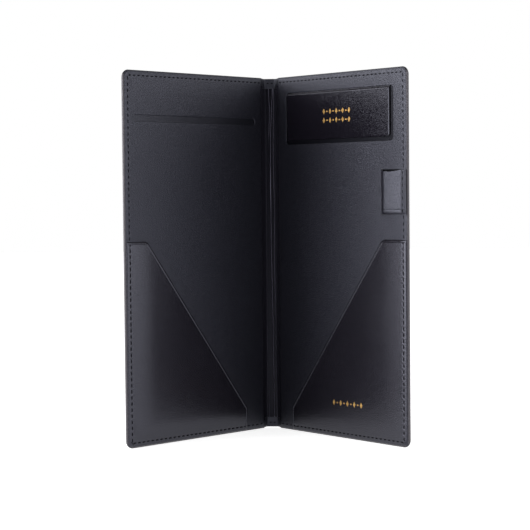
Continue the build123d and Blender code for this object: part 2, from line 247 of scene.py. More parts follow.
def flattened(point, side):
    """Where a point of a cover, or of the spine if side is 0, lies on the flat pattern."""
    if side == 0:
        return Vector((point.x, point.z, fold_y - point.y))
    outward = side * point.x - fold_reach
    inward = fold_y - point.y
    along = outward * cos(cover_turn) + inward * sin(cover_turn)
    level = inward * cos(cover_turn) - outward * sin(cover_turn)
    return Vector((side * (fold_reach + along), point.z, level))


def fold_ends(side):
    """The two points between which a cover's fold bends."""
    ends = (fold_reach - bend_reach, fold_reach + bend_reach)
    return [folded(Vector((side * end, 0, 0))) for end in ends]


def limits(points):
    """Lowest and highest corners of the box round some points."""
    low = Vector([min(point[axis] for point in points) for axis in range(3)])
    high = Vector([max(point[axis] for point in points) for axis in range(3)])
    return low, high


def node_reach(node, side):
    """Limits of a cover's node on the flat pattern, with x as the distance from the fold."""
    points = [flattened(vert.co, side) for vert in frame["nodes"][node].data.vertices]
    for point in points:
        point.x = side * point.x - fold_reach
    return limits(points)


corner_steps = 10


def panel(corners, step, clear=4.5 * mm):
    """A flat face with its corners, given as (x, y, radius), rounded, and its edges cut to step.

    Beside a sharp corner an edge stays whole for the clear length, so that the insets fit in.
    The new layer depth is for each vertex's distance from the edge.
    """
    bm = bmesh.new()
    verts = [bm.verts.new((x, y, 0)) for x, y, radius in corners]
    bm.faces.new(verts)
    for vert, (x, y, radius) in zip(verts, corners):
        if radius:
            first, second = (edge.other_vert(vert).co - vert.co for edge in vert.link_edges)
            bmesh.ops.bevel(
                bm, geom=[vert], offset=radius / tan(first.angle(second) / 2), offset_type="OFFSET",
                segments=corner_steps, profile=0.5, affect="VERTICES", material=-1,
            )
    by_cuts = {}
    for edge in bm.edges:
        by_cuts.setdefault(round(edge.calc_length() / step) - 1, []).append(edge)
    for cuts, edges in sorted(by_cuts.items()):
        if cuts > 0:
            bmesh.ops.bisect_edges(bm, edges=edges, cuts=cuts)
    for x, y, radius in corners:
        if not radius:
            reach = [(vert, (vert.co - Vector((x, y, 0))).length) for vert in bm.verts]
            spare = [vert for vert, length in reach if same_place < length < clear]
            bmesh.ops.dissolve_verts(bm, verts=spare)
    bm.verts.layers.float.new("depth")
    return bm


def inset_rings(bm, distances, weld=None):
    """Inset the widest face ring by ring, write each ring's distance to depth, return the middle.

    Where weld is given, points that have come close together are merged at that distance.
    """
    depth = bm.verts.layers.float["depth"]
    face = max(bm.faces, key=lambda face: face.calc_area())
    reached = 0
    for distance in distances:
        if weld and reached < weld <= distance:
            bmesh.ops.remove_doubles(bm, verts=face.verts, dist=weld_gap)
            face = max(bm.faces, key=lambda face: face.calc_area())
        bmesh.ops.inset_region(
            bm, faces=[face], thickness=distance - reached, use_even_offset=True, use_boundary=True
        )
        for vert in face.verts:
            vert[depth] = distance
        reached = distance
    return face


def whole(bm):
    """All vertices, edges and faces of a bmesh."""
    return bm.verts[:] + bm.edges[:] + bm.faces[:]


def cut_columns(bm, places, axis=0):
    """Cut every face at the given places across x, or up y where axis is 1."""
    normal = Vector((1 - axis, axis, 0))
    for place in places:
        bmesh.ops.bisect_plane(
            bm, geom=whole(bm), plane_co=normal * place, plane_no=normal, dist=same_place
        )


def steps(start, end, step):
    """Evenly spaced places between start and end, without the ends."""
    count = max(round((end - start) / step), 1)
    return [start + (end - start) * index / count for index in range(1, count)]


def joined(bm, other):
    """Add another bmesh to a bmesh, and free it."""
    mesh = bpy.data.meshes.new("joined")
    other.to_mesh(mesh)
    other.free()
    bm.from_mesh(mesh)
    bpy.data.meshes.remove(mesh)


def stitch_spans(node, side):
    """The two ends of each stitch of a node, on the flat pattern."""
    bm = bmesh.new()
    bm.from_mesh(frame["nodes"][node].data)
    bmesh.ops.remove_doubles(bm, verts=bm.verts, dist=same_place)
    spans = []
    known = set()
    for first in bm.verts:
        if first in known:
            continue
        known.add(first)
        island = [first]
        for vert in island:
            for edge in vert.link_edges:
                other = edge.other_vert(vert)
                if other not in known:
                    known.add(other)
                    island.append(other)
        low, high = limits([flattened(vert.co, side) for vert in island])
        half = (high - low) / 2
        reach = Vector((half.x, 0, 0)) if half.x > half.y else Vector((0, half.y, 0))
        middle = Vector(((low.x + high.x) / 2, (low.y + high.y) / 2, high.z))
        spans.append((middle - reach, middle + reach))
    bm.free()
    return spans


# How wide a stitch's groove and puckers are, how far from its middle they can reach, and how far
# the thread's tips stay inside the stitch's ends and the puckers outside, as a share of it.
stitch_spread = 0.42 * mm
stitch_reach = 4 * mm
stitch_tip = 0.14


def press_stitches(bm, spans, groove=0.09 * mm, pucker=0.03 * mm, middle_level=None):
    """Draw a sheet in under each stitch's thread, and pucker it up beyond the thread's two tips.

    Below middle_level, where it is given, the sheet is drawn up instead, from its other face.
    """
    tree = KDTree(len(spans))
    for index, (start, end) in enumerate(spans):
        middle = (start + end) / 2
        tree.insert((middle.x, middle.y, 0), index)
    tree.balance()
    for vert in bm.verts:
        x, y, z = vert.co
        place = Vector((x, y))
        middle, index, gap = tree.find((x, y, 0))
        if gap > stitch_reach:
            continue
        start, end = (point.xy for point in spans[index])
        run = end - start
        tip = run * stitch_tip
        share = (place - start).dot(run) / run.length_squared
        off_thread = (place - start - run * min(max(share, stitch_tip), 1 - stitch_tip)).length
        off_pucker = min((place - start + tip).length, (place - end - tip).length)
        pull = groove * bell(off_thread, stitch_spread) - pucker * bell(off_pucker, stitch_spread)
        outside = middle_level is not None and z < middle_level
        vert.co.z += pull if outside else -pull


def thicken(bm, thickness):
    """Give an open sheet its thickness, away from its normals, and close its edges."""
    bmesh.ops.recalc_face_normals(bm, faces=bm.faces)
    bm.normal_update()
    starts = [vert.co.copy() for vert in bm.verts]
    targets = [vert.co - vert.normal * thickness for vert in bm.verts]
    grown = bmesh.ops.extrude_face_region(bm, geom=whole(bm))
    tree = KDTree(len(starts))
    for index, start in enumerate(starts):
        tree.insert(start, index)
    tree.balance()
    for item in grown["geom"]:
        if isinstance(item, bmesh.types.BMVert):
            item.co = targets[tree.find(item.co)[1]]


sharp_angle = radians(50)


def finished(bm, name, material):
    """Turn a bmesh of the flat pattern into a named, smooth-shaded piece where it stands."""
    for vert in bm.verts:
        vert.co = folded(vert.co)
    bmesh.ops.recalc_face_normals(bm, faces=bm.faces)
    bm.normal_update()
    for edge in bm.edges:
        edge.smooth = len(edge.link_faces) == 2 and edge.calc_face_angle(0) < sharp_angle
    for face in bm.faces:
        face.smooth = True
    mesh = bpy.data.meshes.new(name)
    bm.to_mesh(mesh)
    bm.free()
    mesh.materials.append(material)
    piece = bpy.data.objects.new(name, mesh)
    scene.collection.objects.link(piece)
    return piece


def new_group(name, inputs, outputs):
    """A shader node group with number inputs (and their defaults) and number outputs."""
    tree = bpy.data.node_groups.new(name, "ShaderNodeTree")
    for label, value in inputs.items():
        socket = tree.interface.new_socket(label, in_out="INPUT", socket_type="NodeSocketFloat")
        socket.default_value = value
    for label in outputs:
        tree.interface.new_socket(label, in_out="OUTPUT", socket_type="NodeSocketFloat")
    return tree, tree.nodes.new("NodeGroupInput").outputs, tree.nodes.new("NodeGroupOutput").inputs


# Pressed grain: shallow cells with soft creases between them, and fine pores.
grain_tree, grain_in, grain_out = new_group(
    "leather_grain", {"Cells": 1400.0, "Crease": 0.5}, ("Height", "Tone")
)
grain_place = add_node(grain_tree, "ShaderNodeTexCoord", {}).outputs["Object"]
grain_warp = add_node(
    grain_tree, "ShaderNodeTexNoise", {"Vector": grain_place, "Scale": 350.0, "Detail": 2.0}
)
grain_shift = add_node(
    grain_tree, "ShaderNodeVectorMath", {0: grain_warp.outputs["Color"], "Scale": 0.0009},
    operation="SCALE",
)
grain_moved = add_node(
    grain_tree, "ShaderNodeVectorMath", {0: grain_place, 1: grain_shift.outputs[0]}, operation="ADD"
)
grain_cells = add_node(
    grain_tree, "ShaderNodeTexVoronoi",
    {"Vector": grain_moved.outputs[0], "Scale": grain_in["Cells"], "Randomness": 0.9},
    feature="DISTANCE_TO_EDGE",
)
grain_dome = add_node(
    grain_tree, "ShaderNodeMapRange",
    {"Value": grain_cells.outputs["Distance"], "From Max": grain_in["Crease"]},
    interpolation_type="SMOOTHSTEP",
)
grain_pores = add_node(
    grain_tree, "ShaderNodeTexNoise", {"Vector": grain_place, "Scale": 4200.0, "Detail": 3.0}
)
grain_height = add_node(
    grain_tree, "ShaderNodeMath",
    {0: grain_pores.outputs["Fac"], 1: 0.45, 2: grain_dome.outputs["Result"]},
    operation="MULTIPLY_ADD",
)
grain_tree.links.new(grain_height.outputs[0], grain_out["Height"])
grain_tree.links.new(grain_dome.outputs["Result"], grain_out["Tone"])

# Handling: broad soft patches where the finish is rubbed smoother or duller.
rub_tree, rub_in, rub_out = new_group(
    "handling", {"Patches": 25.0, "Low": 0.0, "High": 1.0}, ("Value",)
)
rub_place = add_node(rub_tree, "ShaderNodeTexCoord", {}).outputs["Object"]
rub_cloud = add_node(
    rub_tree, "ShaderNodeTexNoise",
    {"Vector": rub_place, "Scale": rub_in["Patches"], "Detail": 4.0, "Roughness": 0.55},
)
rub_range = add_node(
    rub_tree, "ShaderNodeMapRange",
    {
        "Value": rub_cloud.outputs["Fac"], "From Min": 0.3, "From Max": 0.7,
        "To Min": rub_in["Low"], "To Max": rub_in["High"],
    },
)
rub_tree.links.new(rub_range.outputs["Result"], rub_out["Value"])


def use_group(tree, group, values):
    """Place a node group in a material, with its own values."""
    node = tree.nodes.new("ShaderNodeGroup")
    node.node_tree = group
    for key, value in values.items():
        node.inputs[key].default_value = value
    return node


leather_tint = (0.80, 0.82, 1.0, 1)


def leather(name, dark, light, rough, cells, crease, grain_depth, gloss=0.5, wear_and_light_colour=None):
    """Dyed leather: two close tones in the grain, a rough range, and a bump from the grain.

    Where a rub colour is given, the mesh's own attribute says how far the colour goes to it: worn rims,
    painted light and painted highlights.
    """
    material = bpy.data.materials.new(name)
    material.use_nodes = True
    tree = material.node_tree
    surface = tree.nodes["Principled BSDF"]
    surface.inputs["Specular IOR Level"].default_value = gloss
    surface.inputs["Specular Tint"].default_value = leather_tint
    grain = use_group(tree, grain_tree, {"Cells": cells, "Crease": crease})
    patches = use_group(tree, rub_tree, {"Patches": 22.0, "Low": rough[0], "High": rough[1]})
    tone = add_node(
        tree, "ShaderNodeMix", {"Factor": grain.outputs["Tone"], 6: (*dark, 1), 7: (*light, 1)},
        data_type="RGBA",
    )
    colour = tone.outputs[2]
    # Towards the rub colour the base colour goes lighter: wear, painted light from below and painted
    # highlights, as each mesh's attribute asks.
    if wear_and_light_colour:
        wear_and_light_share = add_node(tree, "ShaderNodeAttribute", {}, attribute_name="wear_and_painted_light")
        worn_and_lit_colour = add_node(
            tree, "ShaderNodeMix",
            {"Factor": wear_and_light_share.outputs["Fac"], 6: colour, 7: (*wear_and_light_colour, 1)}, data_type="RGBA",
        )
        colour = worn_and_lit_colour.outputs[2]
    tree.links.new(colour, surface.inputs["Base Color"])
    tree.links.new(patches.outputs["Value"], surface.inputs["Roughness"])
    bump = add_node(
        tree, "ShaderNodeBump",
        {"Height": grain.outputs["Height"], "Strength": 1.0, "Distance": grain_depth},
    )
    tree.links.new(bump.outputs["Normal"], surface.inputs["Normal"])
    return material


# Its rims are coloured lighter: partly wear and, along the tail, painted light from the white table below.
outer_leather = leather(
    "outer_leather", dark=(0.006, 0.006, 0.0095), light=(0.011, 0.011, 0.0155),
    rough=(0.37, 0.43), cells=1100.0, crease=0.35, grain_depth=0.00006,
    wear_and_light_colour=(0.105, 0.094, 0.095),
)
cover_width = node_reach("left_cover_leather", -1)[1].x
half_width = fold_reach + cover_width
seam_step = 0.5 * mm
seam_inset = 3.7 * mm
weld_gap = 0.4 * mm
outer_rings = in_mm(0.1, 0.33, 0.7, 1.6, 2.6, 3.15, 3.7, 4.25, 4.9)
flange_rings = in_mm(0.1, 0.33, 0.7, 1.6, 3.0, 3.7, 4.4, 7.2)
flange_weld = 4.4 * mm
# Out from the fold, the inner face climbs the board's wall, and the sheet, which is a little
# short over the spine, grows to its full height.
wall_start, wall_end = 3.4 * mm, 5.0 * mm
short_start, short_end = 1.0 * mm, 5.0 * mm
spine_short = 0.5 * mm
leather_middle = 0.25 * mm
side_rim_lightening = 0.75
rim_lightening_reach = 1.6 * mm
inner_spans = {
    "left": stitch_spans("left_inner_stitching", -1),
    "right": stitch_spans("right_inner_stitching", 1),
    "spine": stitch_spans("spine_stitching", 0),
}
seam_places = [span for spans in inner_spans.values() for span in spans]


def turned_level(x, depth, inside):
    """Level of the turned leather, rounded over the board's edge from its middle."""
    along = abs(x) - fold_reach
    inner_level = hem_top + (board_top - hem_top) * eased(along, wall_start, wall_end)
    middle = (outer_face + inner_level) / 2
    half = (inner_level - outer_face) / 2
    return middle + half * rounded(depth, rim_radius) * (1 if inside else -1)


leather_corners = [
    (-half_width, 0, corner_radius),
    (half_width, 0, corner_radius),
    (half_width, height, corner_radius),
    (-half_width, height, corner_radius),
]
fold_cuts = [
    side * (fold_reach + bend_reach * step / 4) for side in sides.values() for step in range(-4, 5)
]
outer_bm = panel(leather_corners, seam_step)
inset_rings(outer_bm, outer_rings)
flange_bm = panel(leather_corners, seam_step)
flange_middle = inset_rings(flange_bm, flange_rings, weld=flange_weld)
bmesh.ops.delete(flange_bm, geom=[flange_middle], context="FACES_ONLY")
for part_bm, inside in ((outer_bm, False), (flange_bm, True)):
    cut_columns(part_bm, fold_cuts)
    depth_layer = part_bm.verts.layers.float["depth"]
    for vert in part_bm.verts:
        vert.co.z = turned_level(vert.co.x, vert[depth_layer], inside)
joined(outer_bm, flange_bm)
bmesh.ops.remove_doubles(outer_bm, verts=outer_bm.verts, dist=2 * same_place)
press_stitches(outer_bm, seam_places, middle_level=leather_middle)
for vert in outer_bm.verts:
    shortened = spine_short * (1 - eased(abs(vert.co.x) - fold_reach, short_start, short_end))
    vert.co.y = height / 2 + (vert.co.y - height / 2) * (1 - 2 * shortened / height)
thicken(outer_bm, sheet_thickness)

for name, side in sides.items():
    half_bm = outer_bm.copy()
    bmesh.ops.bisect_plane(
        half_bm, geom=whole(half_bm), plane_co=(0, 0, 0), plane_no=(side, 0, 0), dist=exact_play,
        clear_inner=True,
    )
    rim_edges = [edge for edge in half_bm.edges if edge.is_boundary]
    bmesh.ops.holes_fill(half_bm, edges=rim_edges, sides=0)
    # The rims are coloured lighter: wear, with more of it along the tail, where it is painted light from the
    # white table below.
    wear_and_light = half_bm.verts.layers.float.new("wear_and_painted_light")
    for vert in half_bm.verts:
        side_rim_light = side_rim_lightening * (1 - eased(half_width - abs(vert.co.x), 0, rim_lightening_reach))
        tail_rim_painted_light = 1 - eased(vert.co.y, 0, rim_lightening_reach)
        vert[wear_and_light] = max(side_rim_light, tail_rim_painted_light)
    piece = finished(half_bm, f"{name}_outer_leather", outer_leather)
    near, far = fold_ends(side)
    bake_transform(piece, "spine", f"{name}_cover", start=near, end=far)
    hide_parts(f"{name}_cover_leather", *(["spine_leather"] if name == "right" else []))
outer_bm.free()

# ---- Boards and cloth ----
# Grey board under each lining, with thin sized cloth behind the card and behind the
# check slot, all glued in. They show only a little, through the slot and the window.
board_grey = leather(
    "grey_board", dark=(0.10, 0.097, 0.09), light=(0.17, 0.165, 0.155),
    rough=(0.8, 0.95), cells=900.0, crease=0.8, grain_depth=0.00003,
)
# Darker and less glossy than the sized cloth: painted shade in the narrow gap round the card panel, on top
# of the cloth's own dark colour.
card_cloth_painted_shade = leather(
    "card_cloth_painted_shade", dark=(0.004, 0.004, 0.006), light=(0.009, 0.009, 0.012),
    rough=(0.36, 0.42), cells=3000.0, crease=0.6, grain_depth=0.00003,
    gloss=0.14,
)
sized_cloth = leather(
    "sized_cloth", dark=(0.006, 0.006, 0.009), light=(0.012, 0.012, 0.016),
    rough=(0.38, 0.44), cells=3000.0, crease=0.6, grain_depth=0.00003,
)
for name, material in (
    ("left_board", board_grey),
    ("right_board", board_grey),
    ("check_slot_backing", sized_cloth),
    ("card_pocket_backing", card_cloth_painted_shade),
):
    for material_slot in frame["nodes"][name].material_slots:
        material_slot.material = material

# ---- Channel lining ----
# A soft strip of lining leather, glued down the channel between the covers and up the walls of
# both boards. It is a little too wide for the spine, so it stands in long loose upright folds.
# Its fold crests are coloured lighter, a painted highlight, and its bend and walls a little lighter, painted
# light over their shade.
channel_leather_painted_light = leather(
    "channel_leather_painted_light", dark=(0.005, 0.0045, 0.0080), light=(0.0075, 0.007, 0.0115),
    rough=(0.13, 0.18), cells=1000.0, crease=0.35, grain_depth=0.00003,
    gloss=0.11, wear_and_light_colour=(0.25, 0.245, 0.32),
)
# The strip ends at the linings' inner edges, and tucks under the hems at head and tail.
lining_start = 6.0 * mm
channel_end = lining_start - 0.05 * mm
channel_under_hem = 1.6 * mm
hem_depth = 7.2 * mm
channel_thickness = 0.3 * mm
tucked_level = 0.4 * mm
channel_top = 2.15 * mm
fold_half_width = 0.25 * mm
tallest_fold = 0.9 * mm
bend_painted_light = 0.05
channel_columns, channel_rows = 90, 110
# Each fold: how far it rises, then, in millimetres, the two heights between which it shows, and
# the points of its line down the spine, each a height and a place across. It fades in and out
# over fold_fade, in millimetres too.
loose_folds = (
    (
        tallest_fold, (-20, 300),
        (
            (247, 1.9), (230, 1.0), (212, 0.3), (178, 0.0),
            (134, 0.2), (99, 0.6), (73, 1.0), (20, 1.4),
        ),
    ),
    (
        0.65 * mm, (-20, 300),
        ((239, 2.5), (195, 2.1), (160, 2.7), (125, 2.3), (90, 2.7), (55, 3.2), (12, 4.0)),
    ),
    (0.65 * mm, (202, 300), ((247, -1.0), (230, -0.4), (212, -0.9))),
    (0.30 * mm, (-20, 225), ((212, -3.2), (130, -3.4), (60, -3.8), (12, -4.6))),
    (0.35 * mm, (-20, 36), ((30, -2.2), (8, -2.3))),
)
fold_fade = 14
# The strip comes out from under a hem and climbs the board's wall between these places. From the first of
# the last two on, measured out from the fold, its bend and wall are painted lighter over their shade.
hem_fade = (hem_depth + 0.1 * mm, hem_depth + 2.4 * mm)
channel_wall = (3.9 * mm, 4.9 * mm)
bend_light_stretch = (-1.2 * mm, 0.2 * mm)


def fold_line(points, up):
    """Place across the spine of a fold's line at a height, in millimetres."""
    if up >= points[0][0]:
        return points[0][1]
    for (upper, first), (lower, second) in zip(points, points[1:]):
        if up >= lower:
            return second + (first - second) * eased(up, lower, upper)
    return points[-1][1]


def fold_rises(x, y):
    """Each loose fold's full rise, and the share of it at a place."""
    up = y / mm
    for rise, (low, high), points in loose_folds:
        strength = eased(up, low, low + fold_fade) * (1 - eased(up, high - fold_fade, high))
        off_line = x - fold_line(points, up) * mm
        yield rise, strength * bell(off_line, fold_half_width)


def channel_level(x, y):
    """Level of the channel lining's face."""
    along = abs(x) - fold_reach
    shown = eased(y, *hem_fade) * eased(height - y, *hem_fade)
    level = hem_top + sum(rise * share for rise, share in fold_rises(x, y))
    level = tucked_level + (level - tucked_level) * shown
    return level + (channel_top - level) * eased(along, *channel_wall)


for name, side in sides.items():
    channel_bm = bmesh.new()
    low = hem_depth - channel_under_hem
    across = fold_reach + channel_end
    place = Matrix.Translation((side * across / 2, height / 2, 0))
    bmesh.ops.create_grid(
        channel_bm, x_segments=channel_columns, y_segments=channel_rows, size=0.5,
        matrix=place @ Matrix.Diagonal((across, height - 2 * low, 1, 1)),
    )
    wear_and_light = channel_bm.verts.layers.float.new("wear_and_painted_light")
    for vert in channel_bm.verts:
        x, y, z = vert.co
        # Painted light: a highlight along each fold's crest, and a lighter bend and wall over their shade.
        bend_light = bend_painted_light * eased(abs(x) - fold_reach, *bend_light_stretch)
        fold_glints = [rise / tallest_fold * share ** 2 for rise, share in fold_rises(x, y)]
        vert[wear_and_light] = max(bend_light, *fold_glints)
        vert.co.z = channel_level(x, y)
    thicken(channel_bm, channel_thickness)
    piece = finished(channel_bm, f"{name}_channel_lining", channel_leather_painted_light)
    near, far = fold_ends(side)
    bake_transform(piece, "spine", f"{name}_cover", start=near, end=far)
    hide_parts(f"{name}_hinge_lining", *(["spine_lining"] if name == "right" else []))

# ---- Linings ---- A matte leather sheet is glued over each board and sewn round its outer edges.
lining_leather = leather(
    "lining_leather", dark=(0.0105, 0.0105, 0.0155), light=(0.017, 0.017, 0.0235),
    rough=(0.36, 0.40), cells=1000.0, crease=0.35, grain_depth=0.00008,
)
lining_reach = node_reach("left_lining", -1)[1]
lining_end = lining_reach.x
lining_top = lining_reach.z
lining_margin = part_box("left_lining")[0][2]
lining_thickness = 0.48 * mm
lining_corner = corner_radius - lining_margin
lining_rings = in_mm(0.1, 0.3, 0.9, 1.6, 2.2, 2.55, 2.9, 3.25, 3.6, 4.2)
seam_trough = 0.05 * mm
seam_width = 0.7 * mm
margin_fall = 0.38 * mm
margin_bow = 1.2
hole_margin = 0.36 * mm
hole_step = 3 * mm
edge_rounding = 0.3 * mm


def rounded_drop(depth, radius):
    """How far a rounded edge lies below its sheet at a distance from the edge."""
    return radius * (1 - rounded(depth, radius))


def hole_edge(side, near, far, low, high, radius):
    """The rounded edge strip round a hole, with its face at level 0."""
    near, far = near - hole_margin, far + hole_margin
    low, high = low - hole_margin, high + hole_margin
    radius += hole_margin
    corners = ((near, low), (far, low), (far, high), (near, high))
    bm = panel([(side * x, y, radius) for x, y in corners], hole_step)
    middle = inset_rings(bm, [hole_margin / 3, hole_margin * 2 / 3, hole_margin])
    bmesh.ops.delete(bm, geom=[middle], context="FACES_ONLY")
    depth = bm.verts.layers.float["depth"]
    for vert in bm.verts:
        vert.co.z = -rounded_drop(hole_margin - vert[depth], edge_rounding)
    return bm


# The left lining's slot, the window and the slit lie where the linings' own solids have them.
slot_near, slot_far = 12.7 * mm, cover_width - 8.5 * mm
slot_middle, slot_half = height - 32.1 * mm, 2.25 * mm
window_near, window_far = 14.7 * mm, cover_width - 13.1 * mm
window_high = height - 11.8 * mm
window_low = window_high - 36.9 * mm
window_radius = 3.0 * mm
loop_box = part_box("pen_loop")
loop_low, loop_high = loop_box[0][2], loop_box[1][2]
loop_near = lining_end - 24.2 * mm
loop_leather = 0.8 * mm
slit_play = 0.5 * mm
sharp_end = 0.1 * mm
slot_low, slot_high = slot_middle - slot_half, slot_middle + slot_half
slit_low, slit_high = loop_low - slit_play, loop_high + slit_play
holes = {
    "left": [(slot_near, slot_far, slot_low, slot_high, slot_half - sharp_end)],
    "right": [
        (window_near, window_far, window_low, window_high, window_radius),
        (loop_near, loop_near + loop_leather, slit_low, slit_high, sharp_end),
    ],
}


def seam_draw(x, y):
    """How far the seam draws a lining or pocket down at a place: along itself and to the edge."""
    edge = min(lining_end + fold_reach - abs(x), y - lining_margin, height - lining_margin - y)
    off_seam = edge - seam_inset + lining_margin
    outside = max(-off_seam, 0) / (seam_inset - lining_margin)
    return seam_trough * bell(off_seam, seam_width) + margin_fall * outside ** margin_bow


for name, side in sides.items():
    lining_outline = [
        (side * (fold_reach + lining_start), lining_margin, 0),
        (side * (fold_reach + lining_end), lining_margin, lining_corner),
        (side * (fold_reach + lining_end), height - lining_margin, lining_corner),
        (side * (fold_reach + lining_start), height - lining_margin, 0),
    ]
    lining_bm = panel(lining_outline, seam_step)
    lining_middle = inset_rings(lining_bm, lining_rings)
    bmesh.ops.delete(lining_bm, geom=[lining_middle], context="FACES_ONLY")
    depth_layer = lining_bm.verts.layers.float["depth"]
    for vert in lining_bm.verts:
        vert.co.z = -rounded_drop(vert[depth_layer], edge_rounding)
    for near, far, low, high, radius in holes[name]:
        strip_bm = hole_edge(side, near, far, low, high, radius)
        bmesh.ops.translate(strip_bm, vec=(side * fold_reach, 0, 0), verts=strip_bm.verts)
        joined(lining_bm, strip_bm)
    open_edges = [
        edge for edge in lining_bm.edges
        if edge.is_boundary and all(vert.co.z > -exact_play for vert in edge.verts)
    ]
    bmesh.ops.triangle_fill(lining_bm, use_beauty=True, use_dissolve=False, edges=open_edges)
    for vert in lining_bm.verts:
        vert.co.z += lining_top - seam_draw(vert.co.x, vert.co.y)
    press_stitches(lining_bm, inner_spans[name])
    thicken(lining_bm, lining_thickness)
    piece = finished(lining_bm, f"{name}_lining_sheet", lining_leather)
    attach(piece, f"{name}_cover")
    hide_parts(f"{name}_lining")

# ---- Pockets ---- A smooth leather corner pocket on each cover, sewn in at the outer side and
# along the tail.
smooth_leather = leather(
    "smooth_leather", dark=(0.0085, 0.0075, 0.0110), light=(0.0135, 0.012, 0.0165),
    rough=(0.23, 0.27), cells=700.0, crease=0.4, grain_depth=0.00004,
)
pocket_top = lining_top + 0.7 * mm
pocket_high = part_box("left_pocket")[1][2]
pocket_foot_height = 17.0 * mm
pocket_bend = 5.0 * mm
pocket_shape = {"left": (18.0 * mm, 24.3 * mm), "right": (23.0 * mm, 19.6 * mm)}
pocket_rings = in_mm(
    0.1, 0.25, 0.4, 0.7, 1.0, 1.3, 1.5, 1.75, 2.0, 2.25, 2.6, 2.9, 3.2, 3.6, 4.2
)
pocket_edge = 0.6 * mm
pocket_thickness = 0.6 * mm
pocket_swell = {"left": 1.1 * mm, "right": 0.38 * mm}
swell_side_reach = 21 * mm
swell_tail_reach = 12 * mm
pocket_grid = 2.5 * mm
pocket_ridge = 0.28 * mm
pocket_fall = 0.5 * mm
pocket_roll = 1.3 * mm
pocket_groove = 0.16 * mm
pocket_pucker = 0.22 * mm
# An edge is sewn flat, and not turned, where it lies along the cover's own edge within this play.
sewn_play = 0.05 * mm


def swell_share(reached):
    """Share of a pocket's full swell, from 0 at its seam to 1, even at first and then level."""
    reached = min(max(reached, 0), 1)
    return 1.5 * reached - 0.5 * reached ** 3


def pocket_rise(name, x, y):
    """How far a pocket stands off its lining, drawn down at its two sewn sides."""
    from_side = swell_share((fold_reach + cover_width - seam_inset - abs(x)) / swell_side_reach)
    from_tail = swell_share((y - seam_inset) / swell_tail_reach)
    return pocket_swell[name] * from_side * from_tail


# A turned edge's ridge begins and ends, and its slope begins, at these shares of its width.
ridge_start, ridge_end, slope_start = 0.3, 1.6, -0.6


def turned_edge(depth, radius, ridge, fall, width):
    """Level of a turned edge: a low ridge on the sheet, then a slope to the rounded edge."""
    crest = ridge * (1 - eased(depth, width, ridge_end * width))
    crest *= eased(depth, ridge_start * width, width)
    slope = fall * (1 - eased(depth, slope_start * width, width))
    return crest - slope - rounded_drop(depth, radius)


for name, side in sides.items():
    top_width, foot = pocket_shape[name]
    pocket_outline = [
        (side * (fold_reach + foot), lining_margin, 0),
        (side * (fold_reach + lining_end), lining_margin, lining_corner),
        (side * (fold_reach + lining_end), pocket_high, 0),
        (side * (fold_reach + lining_end - top_width), pocket_high, pocket_bend),
        (side * (fold_reach + foot), pocket_foot_height, pocket_bend),
    ]
    pocket_bm = panel(pocket_outline, seam_step)
    inset_rings(pocket_bm, pocket_rings)
    columns = steps(fold_reach + foot, half_width, pocket_grid)
    cut_columns(pocket_bm, [side * place for place in columns])
    cut_columns(pocket_bm, steps(0, pocket_high, pocket_grid), axis=1)
    depth_layer = pocket_bm.verts.layers.float["depth"]
    for vert in pocket_bm.verts:
        x, y, z = vert.co
        depth = vert[depth_layer]
        from_sewn = min(fold_reach + lining_end - abs(x), y - lining_margin)
        edge = -rounded_drop(depth, pocket_edge)
        if depth < from_sewn - sewn_play:
            edge = turned_edge(depth, pocket_edge, pocket_ridge, pocket_fall, pocket_roll)
        vert.co.z = pocket_top + pocket_rise(name, x, y) - seam_draw(x, y) + edge
    press_stitches(pocket_bm, inner_spans[name], groove=pocket_groove, pucker=pocket_pucker)
    thicken(pocket_bm, pocket_thickness)
    piece = finished(pocket_bm, f"{name}_pocket_sheet", smooth_leather)
    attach(piece, f"{name}_cover")
    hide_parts(f"{name}_pocket")

# ---- Card pocket front ----
# A smooth leather panel in the right lining's window. It is glued in behind the lining at its
# left and top, and its right and lower edges are turned and free, so that a card slides under.
card_leather = leather(
    "card_leather", dark=(0.0055, 0.0045, 0.0075), light=(0.010, 0.0085, 0.0130),
    rough=(0.19, 0.20), cells=1150.0, crease=0.4, grain_depth=0.00004,
    gloss=0.32,
)
card_reach = node_reach("card_pocket_front", 1)
card_low, card_high = card_reach[0].y, card_reach[1].y
card_near, card_far = card_reach[0].x, card_reach[1].x
card_top = card_reach[1].z
card_tucked = 1.62 * mm
card_thickness = 0.45 * mm
card_edge = 0.25 * mm
card_fall = 0.3 * mm
card_roll = 1.1 * mm
card_corner = 2.2 * mm
card_step = 1.5 * mm
card_tuck_reach = 1.9 * mm
card_rings = in_mm(0.1, 0.25, 0.4, 0.7, 1.0, 1.4, 1.9)
card_lips = in_mm(0.0, 0.35, 0.7, 1.05, 1.4, 1.9)
card_outline = [
    (fold_reach + card_near, card_low, 0),
    (fold_reach + card_far, card_low, card_corner),
    (fold_reach + card_far, card_high, 0),
    (fold_reach + card_near, card_high, 0),
]
card_bm = panel(card_outline, card_step, clear=card_corner)
inset_rings(card_bm, card_rings)
cut_columns(card_bm, [fold_reach + window_near + lip for lip in card_lips])
cut_columns(card_bm, [window_high - lip for lip in card_lips], axis=1)
cut_columns(card_bm, steps(fold_reach + card_near, fold_reach + card_far, pocket_grid))
cut_columns(card_bm, steps(card_low, card_high, pocket_grid), axis=1)
depth_layer = card_bm.verts.layers.float["depth"]
for vert in card_bm.verts:
    from_left = vert.co.x - fold_reach - window_near
    from_top = window_high - vert.co.y
    lift = eased(from_left, 0, card_tuck_reach) * eased(from_top, 0, card_tuck_reach)
    edge = turned_edge(vert[depth_layer], card_edge, 0, card_fall, card_roll)
    vert.co.z = card_tucked + (card_top - card_tucked + edge) * lift
thicken(card_bm, card_thickness)
piece = finished(card_bm, "card_pocket_panel", card_leather)
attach(piece, "right_cover")
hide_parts("card_pocket_front")

